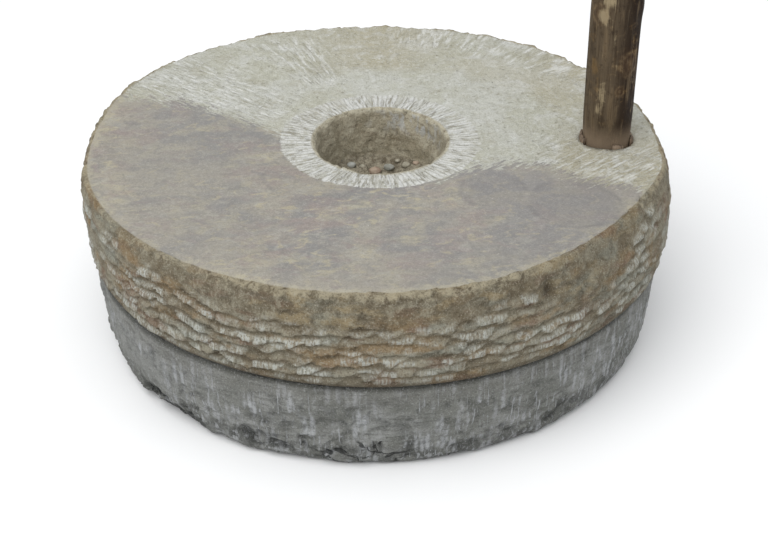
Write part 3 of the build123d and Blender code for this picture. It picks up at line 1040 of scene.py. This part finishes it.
def hopper_wall(fleck):
    """Colour of the hopper: brown-olive with level streaks, grey chisel strokes, rubble on its floor."""
    patch = cloud(24, 5, 0.6, warp=0.5)
    blotch = cloud(7, 5, 0.7, warp=0.6)
    colour = tinted(
        two_tone(patch.step(0.38, 0.62), (161, 152, 129), (192, 184, 162)),
        (blotch.step(0.46, 0.34, 0, 0.5), (118, 107, 86)),
        (patches((26, 26, 6), 0.52, 0.66, 0.6, seed=1.2), (126, 113, 90)),
        (patches((30, 30, 5), 0.54, 0.68, 0.45, seed=2.2), (196, 186, 162)),
        (field("lit") * 0.6, (198, 190, 168)),
        (patches((7, 7, 13), 0.5, 0.62, 0.7, seed=0.5) * field("struck"), (200, 202, 202)),
        (field("mouth") * blotch.step(0.38, 0.6, 0.1, 0.7), (206, 200, 178)),
    )
    stones = two_tone(cloud(6, 5, 0.65, warp=0.8).step(0.38, 0.62), (98, 88, 72), (162, 154, 135))
    colour = mix(field("rubble") * 0.8, colour, stones)
    return flecked(colour, fleck, (96, 86, 68), (208, 202, 184), 0.5)


def runner_material():
    """Tan sandstone: its top dressed pale at the back and worn dark at the front, its side chiselled."""
    start_material("runner_sandstone")["Specular IOR Level"].default_value = 0.3
    grain, fleck = stone_grain()
    dressed, strokes, wear = dressed_top(fleck)
    fray = wear * 90 + (cloud(30, 5) - 0.5) * 40
    is_worn = (field("worn") + fray).step(-6, 6)
    cut, cut_relief = ring_cuts(fleck)
    ragged = drawn(spokes(130, 14), 3) + cloud(5, 4, 0.7) - 1
    on_ring = (field("ring") + ragged * 0.8).step(0.38, 0.64)
    side, blotch = chiselled_side(fleck)
    colour = mix(on_ring, mix(is_worn, dressed, worn_top(fleck)), cut)
    colour = mix(field("hollow"), mix(field("side"), colour, side), hopper_wall(fleck))

    rough = calc("MAXIMUM", field("side"), field("hollow"))
    smooth = is_worn * (1 - calc("MAXIMUM", rough, on_ring))
    relief = grain + strokes * (1 - rough) + cut_relief * on_ring + rough * (blotch - 0.5) * 3.2 - 1.2
    return finish(colour, smooth.step(0, 1, 0.94, 0.62), relief * (1 - smooth * 0.84))


def bed_material():
    """Cool grey sandstone with upright pale chisel strokes, painted shade in the broken hollows and cracks
    near the foot, and painted shade under the seam.
    """
    start_material("bed_sandstone")["Specular IOR Level"].default_value = 0.3
    grain, fleck = stone_grain()
    patch = cloud(36, 5, 0.62, warp=0.5)
    blotch = cloud(9, 5, 0.7, warp=0.5)
    strata = patches((22, 22, 2.6), 0.5, 0.64, 0.45, seed=1.7)
    dark = (cloud(17, 6, 0.68, warp=0.7) + field("low") * 0.1).step(0.53, 0.66, 0, 0.72)

    # Upright strokes, in some places close together like a comb
    where = (cloud(34, 4) + field("comb") * 0.22).step(0.47, 0.6, 0.06, 1)
    scratches = streaks((2.4, 2.4, 34), seed=0.2).step(0.54, 0.66)
    strokes = calc("MAXIMUM", blows(turned((5.2, 5.2, 30)), 0.8), scratches)
    strokes = strokes * where * blotch.step(0.36, 0.5, 0.3, 1)
    # Thin near-black crack lines near the foot: the cracks are real, their darkness is painted shade
    off_crack = calc("ABSOLUTE", cloud(38, 3, 0.6, warp=0.8) - 0.5)
    painted_crack_shade = off_crack.step(0.02, 0.006) * field("cracked").step(0.3, 0.7)
    colour = tinted(
        two_tone(patch.step(0.4, 0.6), (127, 128, 122), (150, 151, 147)),
        (blotch.step(0.52, 0.68, 0, 0.55), (168, 169, 168)),
        (patches((24, 24, 16), 0.52, 0.66, 0.55, seed=4.4), (104, 105, 100)),
        (strata, (104, 104, 98)),
        (dark, (88, 89, 85)),
        (field("pale") * 0.45, (162, 163, 160)),
        (strokes * 0.8, (190, 192, 194)),
        # Painted shade in the sunken hollows
        (field("painted_crevice_shade") * 0.8, (58, 59, 57)),
        (field("rim") * 0.45, (128, 127, 120)),
        # Painted shade under the seam
        (field("painted_seam_shade") * 0.7, (66, 66, 60)),
    )
    colour = flecked(colour, fleck, (84, 85, 81), (186, 188, 186), 0.5)
    # Painted shade in the cracks
    colour = tinted(colour, (painted_crack_shade * 0.8, (40, 41, 40)))
    relief = grain + strokes * 0.7 + blotch * 3.4 - strata - painted_crack_shade * 1.5
    return finish(colour, patch.step(0.3, 0.7, 0.96, 0.88), relief)


def handle_material():
    """Weathered branch: long grain, rubbed and ochre patches, ringed knots, and painted shade on its right
    side.
    """
    start_material("weathered_branch")["Specular IOR Level"].default_value = 0.12
    grain = streaks((1.1, 1.1, 26), detail=4, seed=0.4, warp=0.3)
    broad = streaks((7, 7, 44), detail=5, seed=0.9, warp=0.6)
    blotch = cloud(9, 6, 0.62, warp=0.6)
    mottle = cloud(4.5, 5, 0.65)
    # Painted shade: the pole's right side is made darker
    painted_shade_right_side = along(0).step((HANDLE_X - 8) * MM, (HANDLE_X + 13) * MM)
    frayed = (blotch + grain * 0.6 - 0.78) * 1.8
    colour = tinted(
        two_tone(painted_shade_right_side, (95, 82, 65), (40, 28, 19)),
        (broad.step(0.47, 0.34, 0, 0.65), (58, 47, 35)),
        (broad.step(0.53, 0.68, 0, 0.6), (118, 101, 78)),
        (blotch.step(0.54, 0.68, 0, 0.4), (106, 84, 56)),
        (grain.step(0.46, 0.34, 0, 0.32), (44, 34, 25)),
        (grain.step(0.55, 0.68, 0, 0.15), (130, 116, 94)),
        (mottle.step(0.46, 0.34, 0, 0.5), (52, 41, 30)),
        (mottle.step(0.55, 0.68, 0, 0.25), (114, 97, 74)),
        (field("knot") * 0.5, (70, 48, 30)),
        ((field("rubbed") + frayed).step(0.25, 0.8, 0, 0.85), (164, 148, 118)),
        ((field("ochre") + frayed).step(0.3, 0.9, 0, 0.7) * 0.7, (130, 103, 64)),
        (field("ripple") * mottle.step(0.4, 0.6, 0.1, 0.5), (142, 120, 90)),
        (field("foot") * 0.85, (142, 124, 104)),
    )
    relief = grain * 0.7 + broad * 0.5 + cloud(2.2, 4) * 0.4
    return finish(colour, grain.step(0.35, 0.65, 0.85, 0.6), relief)


def wood_material(name, dark, light, size):
    """Split wood with grain that runs up the piece."""
    start_material(name)
    grain = streaks((size, size, size * 18), detail=4)
    colour = two_tone(grain.step(0.38, 0.64), dark, light)
    return finish(colour, grain.step(0.35, 0.65, 0.85, 0.65), grain * 0.6)


def iron_material():
    """Forged iron: dark scale, brown rust in patches and brighter worn spots."""
    start_material("forged_iron")["Metallic"].default_value = 0.75
    scale = cloud(7, 5, 0.6)
    rust = cloud(14, 5, 0.6).step(0.48, 0.62)
    colour = two_tone(scale.step(0.35, 0.65), (62, 60, 58), (104, 101, 96))
    colour = tinted(colour, (rust * 0.7, (104, 66, 42)))
    return finish(colour, rust.step(0, 1, 0.42, 0.85), scale * 0.6)


def leather_material():
    """Greased brown leather."""
    start_material("washer_leather")
    blot = cloud(9, 4)
    colour = two_tone(blot.step(0.38, 0.62), (74, 48, 30), (116, 80, 50))
    return finish(colour, blot.step(0.35, 0.65, 0.45, 0.7), cells(1.4) * 0.25)


def pebble_material(name, dark, light):
    """A small smooth stone in its own colour."""
    start_material(name)
    haze = cloud(5, 4)
    colour = two_tone(haze.step(0.38, 0.62), dark, light)
    return finish(colour, haze.step(0.3, 0.7, 0.8, 0.6), cloud(1.2) * 0.3)


# ---- the pieces

place(make_bed_stone(), "bed", "bed_stone", "bed_stone", bed_material())
place(make_runner_stone(), "runner", "runner_stone", "runner_stone", runner_material())
place(make_handle(), "runner", "handle", "handle_wood", handle_material())

wedge_wood = wood_material("wedge_wood", (82, 68, 54), (136, 116, 94), 1.2)
for seed, (name, (bearing, spread, proud)) in enumerate(WEDGES.items()):
    wedge = make_wedge(f"{name}_split", bearing, spread, proud, 301 + 10 * seed)
    place(wedge, "runner", name, "wedge_wood", wedge_wood)

# Loose pebbles on the hopper's floor: (x, y, size, colour)
PEBBLES = (
    (-3, 31, 11, "tan"), (-24, 37, 8, "grey"), (9, 36, 9, "grey"), (24, 37, 8, "pale"),
    (-35, 42, 6, "grey"), (33, 38, 6, "tan"), (17, 44, 5, "pale"), (-14, 37, 6, "pale"),
)
pebble_paints = {
    "tan": pebble_material("pebble_tan", (152, 130, 112), (182, 162, 142)),
    "grey": pebble_material("pebble_grey", (146, 146, 136), (178, 179, 172)),
    "pale": pebble_material("pebble_pale", (146, 140, 122), (180, 174, 156)),
}
for index, (x, y, size, colour) in enumerate(PEBBLES):
    pebble = make_pebble(index, x, y, size, 401 + index)
    place(pebble, "runner", None, "runner_stone", pebble_paints[colour])

iron = iron_material()
leather = leather_material()
bush_wood = wood_material("bush_wood", (92, 64, 40), (150, 114, 76), 1.6)
CAD_FINISHES = {
    "spindle": iron,
    "rynd": iron,
    "thrust_washer_lower": leather,
    "thrust_washer_upper": leather,
    "spindle_bush": bush_wood,
}
for name, cad_finish in CAD_FINISHES.items():
    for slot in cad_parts[name].material_slots:
        slot.material = cad_finish


# ---- stage, light and camera


def make_floor():
    """A wide pale floor just under the stone."""
    half, level = 20000, -0.3
    corners = [(-half, -half, level), (half, -half, level), (half, half, level), (-half, half, level)]
    floor = make_piece("floor", corners, [[0, 1, 2, 3]])
    surface = start_material("floor_paint")
    surface["Roughness"].default_value = 1.0
    surface["Specular IOR Level"].default_value = 0.0
    surface["Base Color"].default_value = (0.86, 0.86, 0.86, 1)
    floor.data.materials.append(material)


def make_sky():
    """An even overcast sky, twice as bright overhead as at the horizon."""
    world = bpy.data.worlds.new("overcast")
    bpy.context.scene.world = world
    start_nodes(world)
    rise = node("SeparateXYZ", {0: node("TexCoord", {}, "Generated")}, 2)
    background = tree.nodes["Background"].inputs
    background["Color"].default_value = (0.97, 0.985, 1, 1)
    strength = {"Value": rise, "To Min": 0.62, "To Max": 1.15}
    feed(background["Strength"], node("MapRange", strength))


def make_softbox(name, spot, size, power):
    """A large square light that points at the middle of the stones."""
    lamp = bpy.data.lights.new(name, "AREA")
    lamp.energy = power
    lamp.size = size
    light = bpy.data.objects.new(name, lamp)
    light.location = spot
    aim = np.array([0, 0, 0.1]) - spot
    tilt = math.atan2(math.hypot(aim[0], aim[1]), -aim[2])
    light.rotation_euler = (tilt, 0, math.atan2(aim[1], aim[0]) - math.pi / 2)
    bpy.context.scene.collection.objects.link(light)


# The camera, as fitted to the stones in the photograph: place in metres, degrees below level, lens
CAMERA_SPOT = (0.0047, -1.129, 0.744)
CAMERA_DIP = 32.25
CAMERA_LENS = 70.3


def make_camera():
    """A camera in front of the quern that looks down at it."""
    camera = bpy.data.cameras.new("camera")
    camera.lens = CAMERA_LENS
    camera.sensor_width = 36
    view = bpy.data.objects.new("camera", camera)
    view.location = CAMERA_SPOT
    view.rotation_euler = (math.radians(90 - CAMERA_DIP), 0, 0)
    bpy.context.scene.collection.objects.link(view)
    bpy.context.scene.camera = view


make_floor()
make_sky()
make_softbox("key", np.array([-0.7, -1.2, 2.0]), 1.8, 34)
make_camera()
bpy.context.scene.view_settings.view_transform = "Standard"
